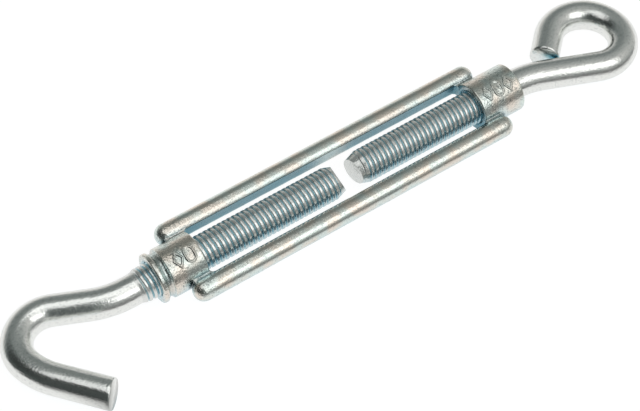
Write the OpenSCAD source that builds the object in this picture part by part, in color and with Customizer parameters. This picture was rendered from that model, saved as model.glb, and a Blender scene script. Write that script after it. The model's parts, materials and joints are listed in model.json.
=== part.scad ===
// Hook and eye turnbuckle: a cast frame with two side bars, and two bent bolts screwed into
// its ends from opposite sides. X runs along the screw axis, the hook at -X and the eye at +X.
// The origin is the middle of the frame on the screw axis. Z is up, and the part lies on its
// two bosses and on the tip of its hook.

/* [Frame] */
// Length of the frame over both bosses
frame_len = 120; // [100:1:150]
// Diameter of each boss
boss_d = 14.6; // [13.6:0.1:16]
// Length of each boss
boss_len = 14; // [12.5:0.5:18]
// Bevel at the rim of each boss
boss_bevel = 0.4; // [0.2:0.1:0.8]
// Distance between the middles of the two side bars
bar_spacing = 19.7; // [18.8:0.1:23]
// Diameter of each side bar
bar_d = 6.4; // [5.6:0.1:7]
// Distance from the middle of a bar to its flat inner face
bar_flat = 2.4; // [1.8:0.1:2.6]
// How far a bar runs on along the boss
bar_lap = 7; // [5:0.5:9]
// Thickness of the web between a bar and its boss
web_t = 4.4; // [3:0.1:5]
// Radius of the window's corners
corner_r = 1.2; // [0.6:0.1:2]
// Width of the collar at the outer end of the hook's boss
collar_w = 1.5; // [1:0.1:2.5]
// Width of the groove behind the collar
groove_w = 2; // [1.2:0.1:2.6]
// Depth of the groove
groove_depth = 0.9; // [0.4:0.1:1.1]

/* [Raised marks] */
// Height of the raised marks above the boss
mark_h = 0.3; // [0.2:0.05:0.5]
// Width of the raised line that draws a mark
mark_line = 0.45; // [0.3:0.05:0.6]
// Width of one mark along the boss
mark_w = 3.1; // [2.4:0.1:3.3]
// Length of one mark round the boss
mark_len = 4.8; // [3.8:0.1:5.2]
// Distance from the middle of one mark to the next
mark_pitch = 3.5; // [3.4:0.1:4]
// Distance from a boss's inner end to the middle of the nearest mark
mark_inset = 3.4; // [2.4:0.1:4]
// Angle of the marks round the boss, from the top towards the front
mark_turn = 14; // [0:1:30]

/* [Thread] */
// Outer diameter of the bolts' thread
thread_d = 9.9; // [9.6:0.1:10.2]
// Distance from one thread ridge to the next
thread_pitch = 1.5; // [1.25:0.25:1.75]
// Depth of the thread
thread_depth = 0.75; // [0.6:0.05:0.95]
// Running clearance between a thread's ridges and the frame's bore
thread_gap = 0.05; // [0.03:0.01:0.09]
// Bevel at the mouth of each bore
mouth_bevel = 0.6; // [0.3:0.1:0.9]
// Diameter of a bolt's sheared tip
tip_d = 7.8; // [7.2:0.1:8.2]
// Length over which the thread tapers down to the tip
tip_taper = 3.2; // [2:0.1:4.5]
// Distance between the tips of the two bolts with the turnbuckle closed
tip_gap = 4.9; // [4.4:0.1:7]

/* [Hook bolt] */
// Diameter of the bent rods
rod_d = 8.8; // [8.2:0.1:9]
// Distance of the hook bolt's tip past the middle of the frame
hook_reach = 0.1; // [0:0.1:2]
// Slant of the hook bolt's sheared tip
hook_tip_slant = 20; // [0:1:24]
// Direction round the hook bolt that its tip faces
hook_tip_side = 255; // [0:5:355]
// Distance that the hook bolt's thread stands out of the frame
hook_thread_out = 5.2; // [3:0.1:9]
// Plain straight length before the hook's first bend
hook_neck = 2.3; // [1:0.1:6]
// Radius of the hook's first bend, away from the axis
hook_lean_r = 24; // [18:1:32]
// Angle of the hook's first bend
hook_lean = 25; // [18:1:32]
// Straight length between the first bend and the bowl
hook_rise = 10; // [6:0.5:14]
// Radius of the hook's bowl
bowl_r = 9.8; // [8.5:0.1:13]
// Angle that the bowl turns through
bowl_turn = 129; // [118:1:136]
// Radius of the easier bend from the bowl to the leg
ease_r = 22; // [16:1:28]
// Angle of the easier bend
ease_turn = 25; // [18:1:28]
// Straight length of the hook's leg
leg_len = 15.7; // [10:0.1:20]
// Slant of the leg's sheared end
leg_slant = 7; // [0:1:12]

/* [Eye bolt] */
// Plain straight length of the eye bolt that stands out of the frame
eye_neck = 0.7; // [0.7:0.1:5]
// Length of the eye bolt's plain shank inside the frame
eye_plain = 2; // [1.2:0.1:4]
// Radius of the eye's first bend, away from the axis
eye_lean_r = 26; // [20:1:34]
// Angle of the eye's first bend
eye_lean = 22.5; // [20:0.5:25]
// Straight length between the first bend and the ring
eye_run = 17; // [14:0.5:20]
// Radius of the ring's outer quarter
ring_far_r = 9.8; // [9.2:0.1:10.6]
// Angle of the ring's outer quarter
ring_far_turn = 96; // [90:1:102]
// Radius of the rest of the ring
ring_near_r = 11.05; // [10.6:0.05:11.8]
// Angle of the rest of the ring
ring_near_turn = 150; // [146:1:154]
// Gap between the ring's open end and the neck, at the end's inner corner
seam_gap = 0.3; // [0.2:0.05:0.8]
// Bevel round the eye's cut end
end_bevel = 0.35; // [0.2:0.05:0.6]
// Slant of the eye bolt's sheared tip
eye_tip_slant = 9; // [0:1:24]
// Direction round the eye bolt that its tip faces
eye_tip_side = 0; // [0:5:355]

/* [Rest] */
// Turn of the frame about the axis, past the plane of the hook
frame_twist = 10; // [0:1:12]
// Turn of the eye about the axis, past the plane of the hook
eye_twist = 2; // [0:1:12]

/* [Hidden] */
$fn = 64;
overrun = frame_len / 100;

boss_r = boss_d / 2;
rod_r = rod_d / 2;
thread_r = thread_d / 2;
root_r = thread_r - thread_depth;
bore_r = thread_r + thread_gap;
bar_y = bar_spacing / 2;
flat_y = bar_y - bar_flat;
bar_end_x = frame_len / 2 - boss_len + bar_lap;
inner_x = frame_len / 2 - boss_len;

// Where two pieces of a rod join: how far the ball stands proud, and where the next piece starts.
joint_swell = rod_r / 200;
joint_gap = rod_r / 40;

// Share of the pitch that a thread's flat crest and flat root take.
crest_share = 0.3;
root_share = 0.1;

eye_tip_x = hook_reach + tip_gap;
hook_thread_len = frame_len / 2 + hook_reach + hook_thread_out;
eye_thread_len = frame_len / 2 - eye_tip_x - eye_plain;

// The leg's end, measured sideways from the axis. Headings are counted from the shank.
bowl_heading = bowl_turn - hook_lean;
leg_heading = bowl_heading + ease_turn;
rise_y = hook_lean_r * (1 - cos(hook_lean)) + hook_rise * sin(hook_lean);
bowl_y = rise_y - bowl_r * (cos(hook_lean) - cos(bowl_heading));
ease_y = bowl_y - ease_r * (cos(bowl_heading) - cos(leg_heading));
leg_y = ease_y - leg_len * sin(leg_heading);

// The ring's last straight runs down to the neck: where it starts, its tilt and its length.
ring_turn = ring_far_turn + ring_near_turn;
tail_off = ring_far_r * (1 - cos(ring_far_turn)) + ring_near_r * (cos(ring_far_turn) - cos(ring_turn));
tail_tilt = 270 - ring_turn;
tail_len = (tail_off - rod_r - seam_gap - (rod_r - end_bevel) * sin(tail_tilt)) / cos(tail_tilt);

// The hook tips about the axis until its leg meets what the bosses lie on.
hook_lie = asin((boss_r - rod_r) / -leg_y);
frame_lie = hook_lie + frame_twist;
eye_lie = hook_lie + eye_twist;

// The ball that joins two pieces of a bent rod. It is barely larger than the rod, and each
// piece starts a hair past its middle.
module knuckle() {
    sphere(r = rod_r + joint_swell);
}

// A straight piece of rod, with what follows it at its end.
module straight(len) {
    knuckle();
    translate([0, 0, joint_gap]) cylinder(r = rod_r, h = len - joint_gap);
    translate([0, 0, len]) children();
}

// A bent piece of rod that turns towards +X, with what follows it at its end.
module bend(radius, turn) {
    skip = joint_gap / radius * 180 / PI;
    knuckle();
    translate([radius, 0, 0]) rotate([90, 0, 180]) rotate([0, 0, skip])
        rotate_extrude(angle = turn - skip) translate([radius, 0]) circle(r = rod_r);
    translate([radius * (1 - cos(turn)), 0, radius * sin(turn)]) rotate([0, turn, 0]) children();
}

// The same bend, turned towards -X.
module bend_back(radius, turn) {
    rotate([0, 0, 180]) bend(radius, turn) rotate([0, 0, 180]) children();
}

// A rod's flat end with a small bevel.
module rod_end() {
    cylinder(r1 = rod_r, r2 = rod_r - end_bevel, h = end_bevel);
}

// A straight piece of rod that was sheared off at a slant.
module sheared_rod(len, slant) {
    difference() {
        straight(len + rod_d * tan(slant));
        translate([0, 0, len]) rotate([0, -slant, 0]) translate([-rod_d, -rod_d, 0])
            cube(2 * rod_d);
    }
}

// A bolt's thread, drawn as a row of ridges that tapers towards its sheared tip. The middle of the
// tip is at the origin, and side is the direction that the slanted tip faces.
module thread(len, slant, side) {
    grow = (thread_r - tip_d / 2) / tip_taper;
    lead = thread_r * tan(slant);
    turns = floor((len - (root_r - tip_d / 2) / grow) / thread_pitch);
    start = len - turns * thread_pitch;
    flank = thread_pitch * (1 - crest_share - root_share) / 2;
    root = thread_pitch * root_share / 2;
    crest = thread_pitch * crest_share;
    rises = [root, root + flank, root + flank + crest, root + 2 * flank + crest];
    ridges = [for (i = [0 : turns - 1], k = [0 : 3])
        let (z = start + i * thread_pitch + rises[k])
        [k == 1 || k == 2 ? min(thread_r, tip_d / 2 + z * grow) : root_r, z]];
    difference() {
        rotate_extrude() polygon(concat(
            [[0, -lead], [tip_d / 2 - lead * grow, -lead], [root_r, (root_r - tip_d / 2) / grow]],
            ridges, [[root_r, len], [0, len]]));
        rotate([0, 0, side]) rotate([0, -slant, 0]) translate([-thread_d, -thread_d, -2 * thread_d])
            cube(2 * thread_d);
    }
}

// One side bar along X, domed at both ends, with its inner face cut flat.
module side_bar() {
    bar_r = bar_d / 2;
    barrel = bar_end_x - bar_r;
    intersection() {
        translate([0, bar_y, 0]) rotate([0, 90, 0]) rotate_extrude() {
            translate([0, -barrel]) square([bar_r, 2 * barrel]);
            for (side = [0, 1]) mirror([0, side]) translate([0, barrel])
                intersection() {
                    circle(r = bar_r);
                    square(bar_r);
                }
        }
        translate([-frame_len / 2, flat_y, -bar_d]) cube([frame_len, 2 * bar_d, 2 * bar_d]);
    }
}

// The web from a boss to one bar, at the +X end, with the rounded corner of the window.
module web() {
    depth = bar_y - bore_r;
    translate([inner_x, bore_r, -web_t / 2]) cube([bar_lap - bar_d / 4, depth, web_t]);
    translate([inner_x - corner_r, flat_y - corner_r, -web_t / 2]) difference() {
        cube([corner_r + overrun, corner_r + overrun, web_t]);
        translate([0, 0, -overrun]) cylinder(r = corner_r, h = web_t + 2 * overrun);
    }
}

// One boss standing along X, with its bevelled rims.
module boss() {
    rotate([0, 90, 0]) rotate_extrude() polygon([
        [0, 0], [boss_r - boss_bevel, 0], [boss_r, boss_bevel],
        [boss_r, boss_len - boss_bevel], [boss_r - boss_bevel, boss_len], [0, boss_len]]);
}

// A through bore along X with bevelled mouths.
module bore() {
    rotate([0, 90, 0]) {
        translate([0, 0, -overrun]) cylinder(r = bore_r, h = boss_len + 2 * overrun);
        for (end = [0, 1]) translate([0, 0, end * boss_len]) mirror([0, 0, end])
            translate([0, 0, -overrun])
                cylinder(r1 = bore_r + mouth_bevel + overrun, r2 = bore_r, h = mouth_bevel + overrun);
    }
}

// A flat shape with round ends, as long as a mark less a margin on all sides.
module oblong(margin) {
    straight_len = mark_len - mark_w;
    for (end = [-1, 1]) translate([0, end * straight_len / 2]) circle(d = mark_w - 2 * margin);
    square([mark_w - 2 * margin, straight_len], center = true);
}

// A raised loop with round ends, drawn as a line.
module loop_mark() {
    difference() {
        oblong(0);
        oblong(mark_line);
    }
}

// A raised lozenge, drawn as a line.
module lozenge_mark() {
    corners = [[mark_w / 2, 0], [0, mark_len / 2], [-mark_w / 2, 0], [0, -mark_len / 2]];
    inner_share = 1 - 2 * mark_line * norm([mark_w, mark_len]) / (mark_w * mark_len);
    difference() {
        polygon(corners);
        polygon(inner_share * corners);
    }
}

// Raised marks in a row along X, from the first middle at the origin, on top of a boss.
module marks(count) {
    intersection() {
        rotate([mark_turn, 0, 0]) linear_extrude(height = boss_d)
            for (i = [0 : count - 1]) translate([i * mark_pitch, 0])
                if (i % 2 == 0) lozenge_mark(); else loop_mark();
        translate([-frame_len, 0, 0]) rotate([0, 90, 0])
            cylinder(r = boss_r + mark_h, h = 2 * frame_len);
    }
}

// The cast frame: two bosses, two side bars and the webs between them.
module frame() {
    color([0.72, 0.75, 0.78]) rotate([frame_lie, 0, 0]) difference() {
        union() {
            for (end = [0, 1]) mirror([end, 0, 0]) {
                translate([inner_x, 0, 0]) boss();
                for (side = [0, 1]) mirror([0, side, 0]) web();
            }
            for (side = [0, 1]) mirror([0, side, 0]) side_bar();
            translate([inner_x + mark_inset, 0, 0]) marks(3);
            translate([-inner_x - mark_inset - mark_pitch, 0, 0]) marks(2);
        }
        for (end = [0, 1]) mirror([end, 0, 0]) translate([inner_x, 0, 0]) bore();
        translate([-frame_len / 2 + collar_w + groove_w / 2, 0, 0]) rotate([0, 90, 0])
            rotate_extrude() translate([boss_r + groove_w / 2 - groove_depth, 0]) circle(d = groove_w);
    }
}

// The bolt with the open hook. It is built from its threaded tip outwards along +Z.
module hook_bolt() {
    color([0.78, 0.8, 0.82])
        rotate([hook_lie - 90, 0, 0]) rotate([0, -90, 0]) translate([0, 0, -hook_reach]) {
            thread(hook_thread_len, hook_tip_slant, hook_tip_side);
            translate([0, 0, hook_thread_len]) cylinder(r = rod_r, h = hook_neck);
            translate([0, 0, hook_thread_len + hook_neck])
                bend(hook_lean_r, hook_lean)
                straight(hook_rise)
                bend_back(bowl_r, bowl_turn)
                bend_back(ease_r, ease_turn)
                sheared_rod(leg_len, leg_slant);
        }
}

// The bolt with the closed eye. It is built from its threaded tip outwards along +Z.
module eye_bolt() {
    color([0.78, 0.8, 0.82])
        rotate([eye_lie - 90, 0, 0]) rotate([0, 90, 0]) translate([0, 0, eye_tip_x]) {
            thread(eye_thread_len, eye_tip_slant, eye_tip_side);
            translate([0, 0, eye_thread_len]) cylinder(r = rod_r, h = eye_plain + eye_neck);
            translate([0, 0, eye_thread_len + eye_plain + eye_neck])
                bend(eye_lean_r, eye_lean)
                straight(eye_run)
                bend_back(ring_far_r, ring_far_turn)
                bend_back(ring_near_r, ring_near_turn)
                straight(tail_len - end_bevel)
                rod_end();
        }
}

frame();
hook_bolt();
eye_bolt();
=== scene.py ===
import json
import math

import bmesh
import bpy
from mathutils import Matrix, Quaternion, Vector, noise


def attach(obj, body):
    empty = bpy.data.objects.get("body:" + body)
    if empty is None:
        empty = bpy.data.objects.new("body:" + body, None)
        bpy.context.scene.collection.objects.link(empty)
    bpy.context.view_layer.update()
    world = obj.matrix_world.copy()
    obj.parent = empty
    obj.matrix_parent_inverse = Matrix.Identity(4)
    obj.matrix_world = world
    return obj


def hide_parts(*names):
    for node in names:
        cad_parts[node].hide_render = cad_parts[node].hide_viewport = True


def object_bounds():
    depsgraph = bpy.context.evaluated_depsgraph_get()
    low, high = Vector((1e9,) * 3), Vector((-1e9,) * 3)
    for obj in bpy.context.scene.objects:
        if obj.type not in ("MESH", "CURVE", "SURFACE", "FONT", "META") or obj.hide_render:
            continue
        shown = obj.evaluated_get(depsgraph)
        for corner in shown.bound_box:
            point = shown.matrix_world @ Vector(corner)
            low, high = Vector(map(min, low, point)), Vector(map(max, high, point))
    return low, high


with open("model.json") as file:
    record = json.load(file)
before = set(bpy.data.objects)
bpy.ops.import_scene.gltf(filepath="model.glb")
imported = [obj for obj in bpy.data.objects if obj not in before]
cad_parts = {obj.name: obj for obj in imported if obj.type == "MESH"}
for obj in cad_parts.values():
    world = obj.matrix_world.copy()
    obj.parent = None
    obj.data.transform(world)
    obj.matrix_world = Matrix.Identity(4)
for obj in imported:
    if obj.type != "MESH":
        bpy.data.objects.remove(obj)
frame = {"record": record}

solid_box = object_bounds()
scene = bpy.context.scene
mm = 0.001


# The camera. A long lens looks down at the turnbuckle from in front of its hook, and it is
# rolled a little, so that the frame climbs to the right of the picture.
camera_place = Vector((-165.66, -297.68, 343.85)) * mm
camera_target = Vector((-9.55, -5.31, 0)) * mm
camera_roll = math.radians(-7.48)
sensor_width = 36
focal_length = 97.97

camera_data = bpy.data.cameras.new("long_lens")
camera_data.sensor_width = sensor_width
camera_data.lens = focal_length
camera_data.clip_start = 10 * mm
camera = bpy.data.objects.new("camera", camera_data)
sight = (camera_target - camera_place).to_track_quat("-Z", "Y")
camera.rotation_mode = "QUATERNION"
camera.rotation_quaternion = sight @ Quaternion((0, 0, 1), camera_roll)
camera.location = camera_place
scene.collection.objects.link(camera)
scene.camera = camera
scene.view_settings.view_transform = "Standard"


# The room. Behind the part it is pale low down, and in front it is dim. It is grey above, with one
# dark corner past the hook, which draws the long dark bands along the bright plate.
def add_node(tree, kind, sockets=None, **settings):
    """Adds one node. A socket takes a value, or another node's output, which is linked."""
    new = tree.nodes.new(kind)
    for name, value in settings.items():
        setattr(new, name, value)
    for name, value in (sockets or {}).items():
        if isinstance(value, bpy.types.NodeSocket):
            tree.links.new(value, new.inputs[name])
        else:
            new.inputs[name].default_value = value
    return new


def toward(azimuth, elevation):
    """A direction: azimuth from +Y towards +X, and elevation above the floor, in degrees."""
    turn, rise = math.radians(azimuth), math.radians(elevation)
    return Vector((math.sin(turn) * math.cos(rise), math.cos(turn) * math.cos(rise), math.sin(rise)))


foot_in_front, foot_behind = 0.37, 0.97
head_in_front, head_behind = 0.56, 0.21
head_height = 0.55
dark_corner = toward(-100, 22)
corner_shade = 0.14
dim_tint = (0.88, 1, 0.98, 1)
pale_tint = (1, 0.99, 0.965, 1)

room = bpy.data.worlds.new("room")
room.use_nodes = True
tree = room.node_tree
tree.nodes.clear()
scene.world = room
sky = add_node(tree, "ShaderNodeTexCoord").outputs["Generated"]
facing = add_node(tree, "ShaderNodeSeparateXYZ", {"Vector": sky}).outputs
foot = add_node(tree, "ShaderNodeMapRange", {
    "Value": facing["Y"], "From Min": -0.4, "From Max": 0.6,
    "To Min": foot_in_front, "To Max": foot_behind}).outputs["Result"]
head = add_node(tree, "ShaderNodeMapRange", {
    "Value": facing["Y"], "From Min": -0.45, "From Max": 0.5,
    "To Min": head_in_front, "To Max": head_behind}).outputs["Result"]
wall = add_node(tree, "ShaderNodeMapRange", {
    "Value": facing["Z"], "From Max": head_height, "To Min": foot, "To Max": head}).outputs["Result"]
nearness = add_node(tree, "ShaderNodeVectorMath", {0: sky, 1: dark_corner},
                    operation="DOT_PRODUCT").outputs["Value"]
shade = add_node(tree, "ShaderNodeMapRange", {
    "Value": nearness, "From Min": 0.2, "From Max": 0.8, "To Min": 1.0, "To Max": corner_shade},
    interpolation_type="SMOOTHSTEP").outputs["Result"]
grey = add_node(tree, "ShaderNodeMath", {0: wall, 1: shade}, operation="MULTIPLY").outputs[0]
warmth = add_node(tree, "ShaderNodeMapRange", {
    "Value": grey, "From Min": 0.15, "From Max": 0.6}).outputs["Result"]
hue = add_node(tree, "ShaderNodeMix", {
    "Factor": warmth, "A": dim_tint, "B": pale_tint}, data_type="RGBA").outputs["Result"]
walls = add_node(tree, "ShaderNodeBackground", {"Color": hue, "Strength": grey})
add_node(tree, "ShaderNodeOutputWorld", {"Surface": walls.outputs[0]})


# Two soft boxes. One stands well in front, and one hangs close above the hook's half of the part.
# Their places and sizes are in metres.
def soft_box(name, place, aim, width, depth, brightness):
    """A lit rectangle at its place, turned to what it aims at. It looks equally bright at any size."""
    lamp = bpy.data.lights.new(name, "AREA")
    lamp.shape = "RECTANGLE"
    lamp.size = width
    lamp.size_y = depth
    lamp.energy = brightness * math.pi * width * depth
    holder = bpy.data.objects.new(name, lamp)
    holder.location = place
    holder.rotation_mode = "QUATERNION"
    holder.rotation_quaternion = (aim - place).to_track_quat("-Z", "Y")
    holder.visible_camera = False
    scene.collection.objects.link(holder)


front_distance = 1.1
over_hook = Vector((-0.13, -0.07, 0))
overhead_height = Vector((0, 0, 0.45))
soft_box("front_box", front_distance * toward(165, 40), Vector(),
         width=0.82, depth=0.74, brightness=1.0)
soft_box("overhead_box", over_hook + overhead_height, over_hook,
         width=0.42, depth=0.3, brightness=0.8)


# The floor. It is plain and white, it keeps the part's soft shadow, and the plate reflects it. In front of
# the part its glow fades in reflections only, a painted reflection: the plate shows a dim band there that the
# camera doesn't see on the floor.
floor_reach = 4
floor_drop = 0.3 * mm
paper_grey = (0.8, 0.8, 0.8, 1)
shadow_grey = (0.2, 0.2, 0.2, 1)
paper_glow = 0.93
glow_far, glow_near = 0.86, 0.1
far_line, near_line = -18 * mm, -42 * mm

sheet = bmesh.new()
bmesh.ops.create_grid(sheet, x_segments=1, y_segments=1, size=floor_reach)
bmesh.ops.translate(sheet, verts=sheet.verts, vec=(0, 0, solid_box[0][2] - floor_drop))
floor_mesh = bpy.data.meshes.new("floor")
sheet.to_mesh(floor_mesh)
sheet.free()
floor = bpy.data.objects.new("floor", floor_mesh)
scene.collection.objects.link(floor)

# White paper, matt. To the camera and in reflections it glows almost white, and only its thin
# matt share takes the shadow. To all other rays it is plain matt paper.
paper = bpy.data.materials.new("white_paper")
paper.use_nodes = True
tree = paper.node_tree
tree.nodes.clear()
ray = add_node(tree, "ShaderNodeLightPath").outputs
seen = add_node(tree, "ShaderNodeMath", {
    0: ray["Is Camera Ray"], 1: ray["Is Glossy Ray"]}, operation="MAXIMUM").outputs[0]
seen = add_node(tree, "ShaderNodeMath", {
    0: seen, 1: ray["Is Transmission Ray"]}, operation="MAXIMUM").outputs[0]
matt = add_node(tree, "ShaderNodeBsdfDiffuse", {"Color": paper_grey})
veil = add_node(tree, "ShaderNodeBsdfDiffuse", {"Color": shadow_grey})
place = add_node(tree, "ShaderNodeTexCoord").outputs["Object"]
forward = add_node(tree, "ShaderNodeSeparateXYZ", {"Vector": place}).outputs["Y"]
# Painted reflection: for all but camera rays the glow fades in front of the part, so the plate reflects a dim
# band there.
edge = add_node(tree, "ShaderNodeMapRange", {
    "Value": forward, "From Min": near_line, "From Max": far_line, "To Min": glow_near, "To Max": glow_far},
    interpolation_type="SMOOTHSTEP").outputs["Result"]
edge = add_node(tree, "ShaderNodeMath", {0: edge, 1: ray["Is Camera Ray"]}, operation="MAXIMUM").outputs[0]
lit = add_node(tree, "ShaderNodeMath", {0: edge, 1: paper_glow}, operation="MINIMUM").outputs[0]
glow = add_node(tree, "ShaderNodeEmission", {"Color": (1, 1, 1, 1), "Strength": lit})
bright = add_node(tree, "ShaderNodeAddShader", {0: glow.outputs[0], 1: veil.outputs[0]})
both = add_node(tree, "ShaderNodeMixShader", {0: seen, 1: matt.outputs[0], 2: bright.outputs[0]})
add_node(tree, "ShaderNodeOutputMaterial", {"Surface": both.outputs[0]})
floor_mesh.materials.append(paper)


# The frame. One malleable iron casting: a boss at each end, two side bars with flat inner faces,
# webs between them, a collar and groove on the hook's boss, and raised marks on both bosses.
frame_len = 120 * mm
boss_r = 7.3 * mm
boss_len = 14 * mm
boss_round = 0.5 * mm
bore_r = 5 * mm
mouth_bevel = 0.6 * mm
bar_y = 9.85 * mm
bar_r = 3.2 * mm
bar_flat = 2.4 * mm
bar_end = 53 * mm
web_t = 4.4 * mm
corner_r = 1.2 * mm
collar_w = 1.5 * mm
groove_w = 2 * mm
groove_depth = 0.9 * mm
mark_w = 3.1 * mm
mark_len = 4.8 * mm
mark_line = 0.45 * mm
bead_r = mark_line * 0.62
bead_step = mark_line / 3
mark_pitch = 3.5 * mm
mark_inset = 3.4 * mm
mark_turn = math.radians(14)
skin_grid = 0.125 * mm
skin_share = 0.17
sand_grains = {3.2 * mm: 0.045 * mm, 1.1 * mm: 0.014 * mm, 0.5 * mm: 0.008 * mm}
inner_x = frame_len / 2 - boss_len
flat_y = bar_y - bar_flat


def lie_of(mount):
    """How far a piece is turned about the screw axis, from the axis of its mount in the frame."""
    axis = next(m["axis"] for m in frame["record"]["mounts"] if m["name"] == mount)
    return Matrix.Rotation(math.atan2(-axis[1], axis[2]), 4, "X")


def turned(profile, steps=96):
    """A closed turned shape about X. The profile is a closed loop, or it starts and ends on the axis."""
    shape = bmesh.new()
    points = [shape.verts.new((x, 0, r)) for x, r in profile]
    edges = [shape.edges.new(pair) for pair in zip(points, points[1:])]
    if profile[0][1] > 0:
        edges.append(shape.edges.new((points[-1], points[0])))
    bmesh.ops.spin(shape, geom=points + edges, cent=(0, 0, 0), axis=(1, 0, 0), angle=2 * math.pi,
                   steps=steps, use_merge=True)
    bmesh.ops.remove_doubles(shape, verts=shape.verts, dist=0.001 * mm)
    bmesh.ops.recalc_face_normals(shape, faces=shape.faces)
    return shape


def arc(x, r, radius, start, end, steps=8):
    """Points of an arc in a profile. Angles are in degrees from +X towards the outside."""
    angles = [math.radians(start + (end - start) * i / steps) for i in range(steps + 1)]
    return [(x + radius * math.cos(a), r + radius * math.sin(a)) for a in angles]


def pour(into, shape, matrix=Matrix()):
    """Adds a shape to the casting, at its place, and frees it."""
    bmesh.ops.transform(shape, matrix=matrix, verts=shape.verts)
    if matrix.determinant() < 0:
        bmesh.ops.reverse_faces(shape, faces=shape.faces)
    mesh = bpy.data.meshes.new("poured")
    shape.to_mesh(mesh)
    into.from_mesh(mesh)
    bpy.data.meshes.remove(mesh)
    shape.free()


def boss(collar):
    """A bored boss at the +X end. With a collar, it has a lip at its outer end, past a round groove."""
    inner = arc(inner_x + boss_round, boss_r - boss_round, boss_round, 180, 90)
    outer = arc(frame_len / 2 - boss_round, boss_r - boss_round, boss_round, 90, 0)
    neck = []
    if collar:
        behind = frame_len / 2 - collar_w - groove_w
        lip = 0.4 * mm
        neck = (arc(behind - lip / 3, boss_r - lip / 3, lip / 3, 90, 0, 4)
                + arc(behind + groove_w / 2, boss_r + groove_w / 2 - groove_depth, groove_w / 2, 195, 330)
                + arc(behind + groove_w + lip, boss_r - lip, lip, 150, 90, 4))
    mouth = [(frame_len / 2, bore_r + mouth_bevel), (frame_len / 2 - mouth_bevel, bore_r),
             (inner_x + mouth_bevel, bore_r), (inner_x, bore_r + mouth_bevel)]
    return turned(inner + neck + outer + mouth)


def side_bar():
    """A round bar along X with ball ends. The side that faces the window is cut flat."""
    barrel = bar_end - bar_r
    shape = turned([(-barrel - bar_r, 0)] + arc(-barrel, 0, bar_r, 180, 90)[1:]
                   + arc(barrel, 0, bar_r, 90, 0)[:-1] + [(barrel + bar_r, 0)])
    cut = bmesh.ops.bisect_plane(shape, geom=shape.verts[:] + shape.edges[:] + shape.faces[:],
                                 plane_co=(0, -bar_flat, 0), plane_no=(0, -1, 0), clear_outer=True)
    rim = [e for e in cut["geom_cut"] if isinstance(e, bmesh.types.BMEdge)]
    bmesh.ops.contextual_create(shape, geom=rim)
    return shape


def web():
    """The web between a boss and a bar, with the rounded corner that it gives the window."""
    reach = bar_end - bar_r / 2 - inner_x
    shape = bmesh.new()
    bmesh.ops.create_cube(shape, size=1)
    bmesh.ops.scale(shape, verts=shape.verts, vec=(reach, bar_y - bore_r - bar_r / 4, web_t))
    bmesh.ops.translate(shape, verts=shape.verts,
                        vec=(inner_x + reach / 2, (bar_y + bore_r + bar_r / 4) / 2, 0))
    fillet = bmesh.new()
    outline = [(inner_x + bar_r, flat_y + bar_r / 2), (inner_x - corner_r, flat_y + bar_r / 2)]
    outline += arc(inner_x - corner_r, flat_y - corner_r, corner_r, 90, 0)
    outline.append((inner_x + bar_r, flat_y - corner_r))
    face = fillet.faces.new([fillet.verts.new((x, y, -web_t / 2)) for x, y in outline])
    raised = bmesh.ops.extrude_face_region(fillet, geom=[face])["geom"]
    raised_verts = [g for g in raised if isinstance(g, bmesh.types.BMVert)]
    bmesh.ops.translate(fillet, verts=raised_verts, vec=(0, 0, web_t))
    bmesh.ops.recalc_face_normals(fillet, faces=fillet.faces)
    pour(shape, fillet)
    return shape


def mark(corners):
    """A raised line through those corners and back, curved over the top of a boss."""
    shape = bmesh.new()
    for start, stop in zip(corners, corners[1:] + corners[:1]):
        start, stop = Vector((*start, 0)), Vector((*stop, 0))
        steps = max(1, round((stop - start).length / bead_step))
        for i in range(steps):
            bead = bmesh.ops.create_icosphere(shape, subdivisions=2, radius=bead_r)["verts"]
            bmesh.ops.translate(shape, verts=bead, vec=start.lerp(stop, i / steps))
    for v in shape.verts:
        swing = v.co.y / boss_r
        reach = boss_r + v.co.z
        v.co = Vector((v.co.x, reach * math.sin(swing), reach * math.cos(swing)))
    return shape


flip = Matrix.Scale(-1, 4, (1, 0, 0))
across = Matrix.Scale(-1, 4, (0, 1, 0))
casting = bmesh.new()
for end in (Matrix(), flip):
    pour(casting, boss(collar=end == flip), end)
    for side in (Matrix(), across):
        pour(casting, web(), end @ side)
for side in (Matrix(), across):
    pour(casting, side_bar(), side @ Matrix.Translation((0, bar_y, 0)))

# The marks. They are plain lozenges and loops in a row, three on the eye's boss and two on the
# hook's, each a raised line of beads that the mould's grooves left.
half_w, half_len = (mark_w - mark_line) / 2, (mark_len - mark_line) / 2
lozenge = [(half_w, 0), (0, half_len), (-half_w, 0), (0, -half_len)]
loop = arc(0, half_len - half_w, half_w, 0, 180) + arc(0, half_w - half_len, half_w, 180, 360)
for start, count in {inner_x + mark_inset: 3, -inner_x - mark_inset - mark_pitch: 2}.items():
    for i in range(count):
        mark_x = start + i * mark_pitch
        lie = Matrix.Rotation(mark_turn, 4, "X") @ Matrix.Translation((mark_x, 0, 0))
        pour(casting, mark(loop if i % 2 else lozenge), lie)


def finished(name, shape, body, material_slot, *replaced):
    """Makes the piece's object, which rides on a body and stands for the solids named."""
    mesh = bpy.data.meshes.new(name)
    shape.to_mesh(mesh)
    shape.free()
    piece = bpy.data.objects.new(name, mesh)
    scene.collection.objects.link(piece)
    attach(piece, body)
    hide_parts(*replaced)
    return piece


def baked(piece):
    """Gives the piece the mesh that its modifiers make, and takes the modifiers off."""
    made = bpy.data.meshes.new_from_object(piece.evaluated_get(bpy.context.evaluated_depsgraph_get()))
    piece.modifiers.clear()
    piece.data = made
    return made


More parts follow.
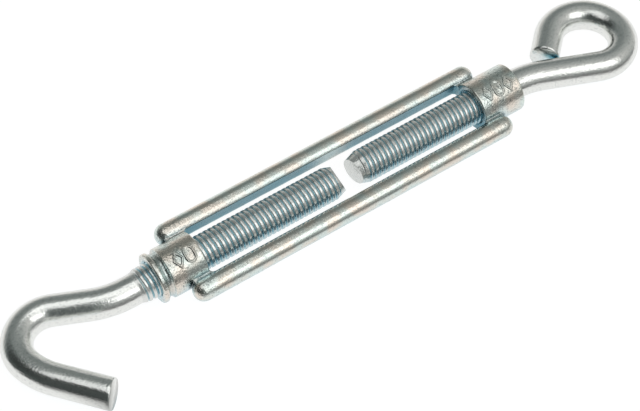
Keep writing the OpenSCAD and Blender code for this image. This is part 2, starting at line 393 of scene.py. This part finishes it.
# The poured shapes become one skin, and the mould's sand sinks it a little here and there.
bmesh.ops.transform(casting, matrix=lie_of("frame_window"), verts=casting.verts)
cast_frame = finished("cast_frame", casting, "frame_body", "cast_zinc", "frame")
skin = cast_frame.modifiers.new("skin", "REMESH")
skin.mode = "VOXEL"
skin.voxel_size = skin_grid
skin.use_smooth_shade = True
soften = cast_frame.modifiers.new("soften", "SMOOTH")
soften.iterations = 2
sand_skin = bmesh.new()
sand_skin.from_mesh(baked(cast_frame))
for v in sand_skin.verts:
    sunk = sum(depth * (1 + noise.noise(v.co / size)) / 2 for size, depth in sand_grains.items())
    v.co -= v.normal * sunk
sand_skin.to_mesh(cast_frame.data)
sand_skin.free()
thin = cast_frame.modifiers.new("thin", "DECIMATE")
thin.ratio = skin_share
baked(cast_frame)


# The finish of the frame: bright zinc plate over the grain that the mould's sand leaves, which is drawn
# coarse enough to show. Its clear passivate drifts between a warm and a green tint. Where ambient occlusion
# finds the casting hemmed in, in corners, on its lower sides over the floor and near the bolts, painted shade
# turns it blue-green, and deep teal on the faces round the window. A painted grey shade darkens its tight
# crevices.
def srgb(code):
    """A colour written as sRGB hex, as linear values."""
    parts = [int(code[i:i + 2], 16) / 255 for i in (1, 3, 5)]
    return tuple(c / 12.92 if c <= 0.04045 else ((c + 0.055) / 1.055) ** 2.4 for c in parts) + (1,)


warm_plate, green_plate = srgb("#e9dfd3"), srgb("#dde6e1")
corner_painted_shade, window_painted_shade = srgb("#c4dbe1"), srgb("#467f90")
pit_grey, crevice_painted_shade = srgb("#6f7a7c"), srgb("#4c5a5e")
painted_shade_reach = 8 * mm
crevice_reach = 1.2 * mm
tint_size = 5 * mm
grain_size = 0.6 * mm
window_edge_x, window_edge_y = 0.4 * mm, 0.2 * mm
boss_blend = 2 * mm
bar_sand, boss_sand = 0.05 * mm, 0.12 * mm

cast_zinc = bpy.data.materials.new("zinc_plate_on_sand_casting")
cast_zinc.use_nodes = True
tree = cast_zinc.node_tree
tree.nodes.clear()
place = add_node(tree, "ShaderNodeTexCoord").outputs["Object"]
# Painted shade: the colour turns blue-green where ambient occlusion over 8 mm finds the casting hemmed in,
# and deep teal on the faces round the window.
open_share = add_node(tree, "ShaderNodeAmbientOcclusion", {"Distance": painted_shade_reach}, samples=8).outputs["AO"]
unshaded = add_node(tree, "ShaderNodeMapRange", {
    "Value": open_share, "From Min": 0.35, "From Max": 0.92}).outputs["Result"]
spot = add_node(tree, "ShaderNodeSeparateXYZ", {"Vector": place}).outputs
length = add_node(tree, "ShaderNodeMath", {0: spot["X"]}, operation="ABSOLUTE").outputs[0]
breadth = add_node(tree, "ShaderNodeMath", {0: spot["Y"]}, operation="ABSOLUTE").outputs[0]
short = add_node(tree, "ShaderNodeMath", {
    0: length, 1: inner_x + window_edge_x}, operation="LESS_THAN").outputs[0]
narrow = add_node(tree, "ShaderNodeMath", {
    0: breadth, 1: flat_y + window_edge_y}, operation="LESS_THAN").outputs[0]
in_window = add_node(tree, "ShaderNodeMath", {0: short, 1: narrow}, operation="MULTIPLY").outputs[0]
painted_shade_tint = add_node(tree, "ShaderNodeMix", {
    "Factor": in_window, "A": corner_painted_shade, "B": window_painted_shade}, data_type="RGBA").outputs["Result"]
cloud = add_node(tree, "ShaderNodeTexNoise", {
    "Vector": place, "Scale": 1 / tint_size, "Detail": 1}).outputs["Fac"]
drift = add_node(tree, "ShaderNodeMapRange", {
    "Value": cloud, "From Min": 0.38, "From Max": 0.62}).outputs["Result"]
plated = add_node(tree, "ShaderNodeMix", {
    "Factor": drift, "A": warm_plate, "B": green_plate}, data_type="RGBA").outputs["Result"]
colour = add_node(tree, "ShaderNodeMix", {
    "Factor": unshaded, "A": painted_shade_tint, "B": plated}, data_type="RGBA").outputs["Result"]
grain = add_node(tree, "ShaderNodeTexNoise", {
    "Vector": place, "Scale": 1 / grain_size, "Detail": 4}).outputs["Fac"]
at_boss = add_node(tree, "ShaderNodeMapRange", {
    "Value": length, "From Min": inner_x - boss_blend, "From Max": inner_x + boss_blend}).outputs["Result"]
deep = add_node(tree, "ShaderNodeMapRange", {
    "Value": at_boss, "To Min": 0.6, "To Max": 0.25}).outputs["Result"]
pits = add_node(tree, "ShaderNodeMapRange", {
    "Value": grain, "From Min": 0.3, "From Max": 0.46, "To Min": deep, "To Max": 1.0}).outputs["Result"]
colour = add_node(tree, "ShaderNodeMix", {
    "Factor": pits, "A": pit_grey, "B": colour}, data_type="RGBA").outputs["Result"]
# Painted shade: a dark grey fills the tight crevices, such as the groove and the edges of the marks.
near_share = add_node(tree, "ShaderNodeAmbientOcclusion", {"Distance": crevice_reach}, samples=8,
                      only_local=True).outputs["AO"]
clear = add_node(tree, "ShaderNodeMapRange", {
    "Value": near_share, "From Min": 0.5, "From Max": 0.92, "To Min": 0.05, "To Max": 1.0}).outputs["Result"]
colour = add_node(tree, "ShaderNodeMix", {
    "Factor": clear, "A": crevice_painted_shade, "B": colour}, data_type="RGBA").outputs["Result"]
dull = add_node(tree, "ShaderNodeMapRange", {
    "Value": grain, "From Min": 0.35, "From Max": 0.65, "To Min": 0.3, "To Max": 0.16}).outputs["Result"]
sand = add_node(tree, "ShaderNodeMapRange", {
    "Value": at_boss, "To Min": bar_sand, "To Max": boss_sand}).outputs["Result"]
rough = add_node(tree, "ShaderNodeBump", {"Height": grain, "Strength": 1.0, "Distance": sand}).outputs[0]
plate = add_node(tree, "ShaderNodeBsdfPrincipled", {
    "Base Color": colour, "Metallic": 1.0, "Roughness": dull, "Normal": rough})
add_node(tree, "ShaderNodeOutputMaterial", {"Surface": plate.outputs[0]})
cast_frame.data.materials.clear()
cast_frame.data.materials.append(cast_zinc)


# The two bolts. Each is one steel rod: its thread was rolled, its plain end was bent cold round
# pins, and then it was plated. The hook's thread is right-handed and the eye's left-handed.
pitch = 1.5 * mm
crest_r = 4.94 * mm
root_r = 4.32 * mm
rod_r = 4.39 * mm
tip_r = 3.9 * mm
tip_taper = 3.2 * mm
joint_len = 0.3 * mm
round_steps = 72
step_len = 0.6 * mm


def rolled_thread(shape, length, hand):
    """A helical thread up along Z from below the origin. It fades into the plain rod at its end."""
    ridge = [(0, 0), (0.05, 0.1), (0.12, 0.42), (0.18, 0.74), (0.25, 0.94), (0.32, 1), (0.68, 1),
             (0.75, 0.94), (0.82, 0.74), (0.88, 0.42), (0.95, 0.1), (1, 0)]
    points = [shape.verts.new((root_r + (crest_r - root_r) * rise, 0, (share - 2) * pitch))
              for share, rise in ridge]
    edges = [shape.edges.new(pair) for pair in zip(points, points[1:])]
    bmesh.ops.spin(shape, geom=points + edges, cent=(0, 0, 0), axis=(0, 0, hand), angle=2 * math.pi,
                   dvec=(0, 0, pitch / round_steps), steps=round_steps)
    turn = shape.verts[:] + shape.edges[:] + shape.faces[:]
    for i in range(1, math.ceil(length / pitch) + 4):
        copy = bmesh.ops.duplicate(shape, geom=turn)["geom"]
        bmesh.ops.translate(shape, verts=[g for g in copy if isinstance(g, bmesh.types.BMVert)],
                            vec=(0, 0, i * pitch))
    bmesh.ops.remove_doubles(shape, verts=shape.verts, dist=0.001 * mm)
    fade = 1.3 * pitch
    for v in shape.verts:
        blend = min(max((v.co.z - length + fade) / fade, 0), 1)
        radius = v.co.xy.length
        v.co.xy *= (radius + (rod_r - radius) * blend * blend * (3 - 2 * blend)) / radius


def cut_flat(shape, place, outward, close):
    """Cuts the shape off at a plane, and returns the edges of the cut. It closes the cut if asked."""
    everything = shape.verts[:] + shape.edges[:] + shape.faces[:]
    cut = bmesh.ops.bisect_plane(shape, geom=everything, plane_co=place, plane_no=outward, clear_outer=True)
    rim = [e for e in cut["geom_cut"] if isinstance(e, bmesh.types.BMEdge)]
    if close:
        bmesh.ops.contextual_create(shape, geom=rim)
    return rim


def bent_rod(shape, start, moves, bevel, slant):
    """A rod up along Z from start. A move is (length, 0) for a straight or (radius, turn) for a bend.
    Positive turns bend towards +X. The end is cut at a slant. Returns the rod's first ring of edges."""
    circle = bmesh.ops.create_circle(shape, segments=round_steps, radius=rod_r)["verts"]
    bmesh.ops.translate(shape, verts=circle, vec=(0, 0, start))
    first = ring = list({e for v in circle for e in v.link_edges})
    drawn = shape.verts.layers.float_vector["drawn"]
    spot, heading = Vector((0, 0, start)), 0.0
    for v in circle:
        v[drawn] = v.co

    def grow(ring, step, matrix):
        new = bmesh.ops.extrude_edge_only(shape, edges=ring)["geom"]
        verts = [g for g in new if isinstance(g, bmesh.types.BMVert)]
        bmesh.ops.transform(shape, matrix=matrix, verts=verts)
        for v in verts:
            v[drawn] = v[drawn] + Vector((0, 0, step))
        return [g for g in new if isinstance(g, bmesh.types.BMEdge)]

    for size, turn in moves:
        length = abs(math.radians(turn)) * size if turn else size
        steps = max(1, round(length / step_len))
        if turn:
            side = math.copysign(1, turn)
            centre = spot + side * size * Vector((math.cos(heading), 0, -math.sin(heading)))
            small = math.radians(turn) / steps
            matrix = Matrix.Translation(centre) @ Matrix.Rotation(small, 4, "Y") @ Matrix.Translation(-centre)
        else:
            small = 0
            ahead = Vector((math.sin(heading), 0, math.cos(heading)))
            matrix = Matrix.Translation(ahead * length / steps)
        for _ in range(steps):
            ring = grow(ring, length / steps, matrix)
            spot = matrix @ spot
            heading += small
    ahead = Vector((math.sin(heading), 0, math.cos(heading)))
    across = Vector((math.cos(heading), 0, -math.sin(heading)))
    for v in {v for e in ring for v in e.verts}:
        v.co += ahead * (v.co - spot).dot(across) * math.tan(slant)
    ring = grow(ring, bevel, Matrix.Translation(ahead * bevel))
    rim = list({v for e in ring for v in e.verts})
    centre = sum((v.co for v in rim), Vector()) / len(rim)
    shrink = 1 - bevel / rod_r
    bmesh.ops.scale(shape, verts=rim, vec=(shrink, shrink, shrink), space=Matrix.Translation(-centre))
    bmesh.ops.contextual_create(shape, geom=ring)
    return first


def bolt(thread_len, hand, neck, moves, tip_slant, tip_side, end_bevel, end_slant):
    """A whole bolt up along Z, with the middle of its sheared tip at the origin."""
    shape = bmesh.new()
    drawn = shape.verts.layers.float_vector.new("drawn")
    rolled = shape.verts.layers.float.new("rolled")
    rolled_thread(shape, thread_len, hand)
    for v in shape.verts:
        limit = tip_r + (crest_r - tip_r) * v.co.z / tip_taper
        radius = v.co.xy.length
        if radius > limit:
            v.co.xy *= limit / radius
    slope = Vector((math.sin(tip_slant) * math.cos(tip_side), math.sin(tip_slant) * math.sin(tip_side),
                    -math.cos(tip_slant)))
    cut_flat(shape, Vector(), slope, close=True)
    top = cut_flat(shape, Vector((0, 0, thread_len)), Vector((0, 0, 1)), close=False)
    for v in shape.verts:
        v[drawn] = v.co
        v[rolled] = 1
    rod_start = bent_rod(shape, thread_len + joint_len, [(neck - joint_len, 0)] + moves, end_bevel, end_slant)
    bmesh.ops.bridge_loops(shape, edges=top + rod_start)
    bmesh.ops.recalc_face_normals(shape, faces=shape.faces)
    return shape


# The hook bolt. After its thread the rod leans out, turns back through the bowl, and its straight
# leg was sheared off at a slant.
hook_reach = 0.1 * mm
hook_thread_len = 65.3 * mm
hook_neck = 2.3 * mm
hook_tip_slant, hook_tip_side = math.radians(20), math.radians(255)
leg_slant = math.radians(7)
cut_bevel = 0.12 * mm
hook_moves = [(24 * mm, 25), (10 * mm, 0), (9.8 * mm, -129), (22 * mm, -25), (15.7 * mm - cut_bevel, 0)]
hook = bolt(hook_thread_len, 1, hook_neck, hook_moves, hook_tip_slant, hook_tip_side, cut_bevel, leg_slant)
to_hook_side = (Matrix.Rotation(math.radians(-90), 4, "X") @ Matrix.Rotation(math.radians(-90), 4, "Y")
                @ Matrix.Translation((0, 0, -hook_reach)))
bmesh.ops.transform(hook, matrix=lie_of("hook_bowl") @ to_hook_side, verts=hook.verts)
hook_piece = finished("bent_hook_bolt", hook, "hook_end", "bolt_zinc", "hook_bolt")


# The eye bolt. Its rod leans the other way and turns through most of a circle, until its cut end
# nearly meets its own neck.
eye_tip_x = 5 * mm
eye_thread_len = 53 * mm
eye_neck = 2.7 * mm
eye_tip_slant = math.radians(9)
end_bevel = 0.35 * mm
ring_turns = (96, 150)
ring_radii = (9.8 * mm, 11.05 * mm)
seam_gap = 0.3 * mm
tail_tilt = math.radians(270 - sum(ring_turns))
swing = math.radians(sum(ring_turns))
first_swing = math.radians(ring_turns[0])
tail_off = (ring_radii[0] * (1 - math.cos(first_swing))
            + ring_radii[1] * (math.cos(first_swing) - math.cos(swing)))
tail_len = (tail_off - rod_r - seam_gap - (rod_r - end_bevel) * math.sin(tail_tilt)) / math.cos(tail_tilt)
eye_moves = [(26 * mm, 22.5), (17 * mm, 0), (ring_radii[0], -ring_turns[0]), (ring_radii[1], -ring_turns[1]),
             (tail_len - end_bevel, 0)]
eye = bolt(eye_thread_len, -1, eye_neck, eye_moves, eye_tip_slant, 0, end_bevel, 0)
to_eye_side = (Matrix.Rotation(math.radians(-90), 4, "X") @ Matrix.Rotation(math.radians(90), 4, "Y")
               @ Matrix.Translation((0, 0, eye_tip_x)))
bmesh.ops.transform(eye, matrix=lie_of("eye_hole") @ to_eye_side, verts=eye.verts)
eye_piece = finished("bent_eye_bolt", eye, "eye_end", "bolt_zinc", "eye_bolt")


# The finish of the bolts: the same bright zinc plate, over drawn rod. Painted shade turns it blue-green
# between the thread's ridges and where other metal is near. The drawing left faint lines along the rod, and
# these and the grain are drawn coarse enough to show.
rod_plate, thread_painted_shade, rod_pit_grey = srgb("#ebece9"), srgb("#aed4de"), srgb("#6c7577")
line_size, line_stretch = 1.2 * mm, 0.08
line_depth, grain_depth = 0.05 * mm, 0.06 * mm
root_reach, bend_reach = 1.2 * mm, 7 * mm
sharp_angle = math.radians(50)

bolt_zinc = bpy.data.materials.new("zinc_plate_on_drawn_rod")
bolt_zinc.use_nodes = True
tree = bolt_zinc.node_tree
tree.nodes.clear()
along = add_node(tree, "ShaderNodeAttribute", attribute_name="drawn").outputs["Vector"]
stretched = add_node(tree, "ShaderNodeMapping", {
    "Vector": along, "Scale": (1, 1, line_stretch)}).outputs[0]
lines = add_node(tree, "ShaderNodeTexNoise", {
    "Vector": stretched, "Scale": 1 / line_size, "Detail": 2}).outputs["Fac"]
place = add_node(tree, "ShaderNodeTexCoord").outputs["Object"]
grain = add_node(tree, "ShaderNodeTexNoise", {
    "Vector": place, "Scale": 1 / grain_size, "Detail": 2}).outputs["Fac"]
rolled = add_node(tree, "ShaderNodeAttribute", attribute_name="rolled").outputs["Fac"]
# Painted shade: the colour turns blue-green where ambient occlusion finds the rod hemmed in, in the thread's
# roots and near the frame, the floor and its own bends.
near_share = add_node(tree, "ShaderNodeAmbientOcclusion", {"Distance": root_reach}, samples=8).outputs["AO"]
wide_share = add_node(tree, "ShaderNodeAmbientOcclusion", {"Distance": bend_reach}, samples=8).outputs["AO"]
open_share = add_node(tree, "ShaderNodeMath", {
    0: near_share, 1: wide_share}, operation="MULTIPLY").outputs[0]
unshaded = add_node(tree, "ShaderNodeMapRange", {
    "Value": open_share, "From Min": 0.1, "From Max": 0.55}).outputs["Result"]
colour = add_node(tree, "ShaderNodeMix", {
    "Factor": unshaded, "A": thread_painted_shade, "B": rod_plate}, data_type="RGBA").outputs["Result"]
pits = add_node(tree, "ShaderNodeMapRange", {
    "Value": grain, "From Min": 0.3, "From Max": 0.45, "To Min": 0.8, "To Max": 1.0}).outputs["Result"]
colour = add_node(tree, "ShaderNodeMix", {
    "Factor": pits, "A": rod_pit_grey, "B": colour}, data_type="RGBA").outputs["Result"]
dull = add_node(tree, "ShaderNodeMapRange", {
    "Value": rolled, "To Min": 0.2, "To Max": 0.25}).outputs["Result"]
shine = add_node(tree, "ShaderNodeMapRange", {
    "Value": rolled, "To Min": 1.0, "To Max": 0.8}).outputs["Result"]
bumps = add_node(tree, "ShaderNodeBump", {
    "Height": lines, "Strength": 1.0, "Distance": line_depth}).outputs[0]
bumps = add_node(tree, "ShaderNodeBump", {
    "Height": grain, "Strength": 1.0, "Distance": grain_depth, "Normal": bumps}).outputs[0]
plate = add_node(tree, "ShaderNodeBsdfPrincipled", {
    "Base Color": colour, "Metallic": shine, "Roughness": dull, "Normal": bumps})
add_node(tree, "ShaderNodeOutputMaterial", {"Surface": plate.outputs[0]})
for piece in (hook_piece, eye_piece):
    piece.data.materials.append(bolt_zinc)
    piece.data.shade_smooth()
    piece.data.set_sharp_from_angle(angle=sharp_angle)
